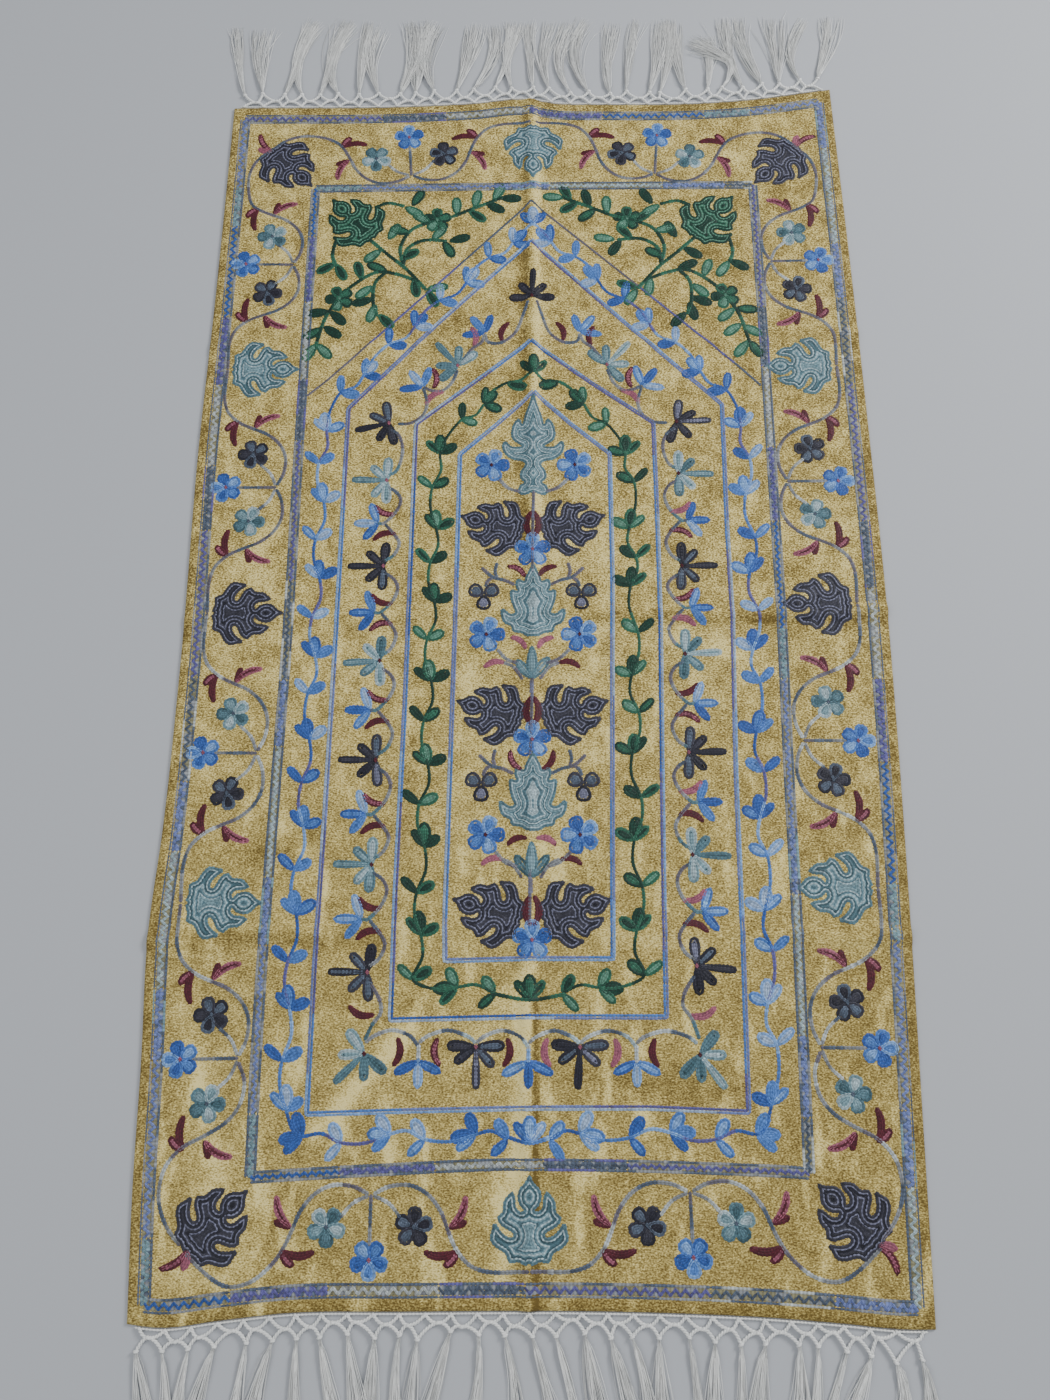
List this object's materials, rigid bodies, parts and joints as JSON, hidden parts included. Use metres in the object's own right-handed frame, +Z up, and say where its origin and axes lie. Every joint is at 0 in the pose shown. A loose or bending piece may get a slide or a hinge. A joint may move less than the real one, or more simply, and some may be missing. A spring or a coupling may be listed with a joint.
{
  "type": "kashmiri chain stitch rug",
  "caption": "Flat velvet prayer-size rug covered in chain stitch leaves, flowers and an arched field, with a knotted silky fringe at both short ends",
  "frame": {"origin": "under the middle of the rug, on the floor it lies on", "axes": "+Y along the rug towards the arch's point, +X across it to the right, +Z up"},
  "size_m": [0.6757, 1.436, 0.0058],
  "materials": {
    "velvet": "crushed pile, mottled golden tan",
    "embroidery": "silky chain stitch in blues, greens, maroon and grey",
    "fringe_yarn": "silky white yarn, loosely spun"
  },
  "bodies": {
    "root": {"rug_cloth": "velvet", "fringe_far": "fringe_yarn", "fringe_near": "fringe_yarn"}
  },
  "joints": []
}
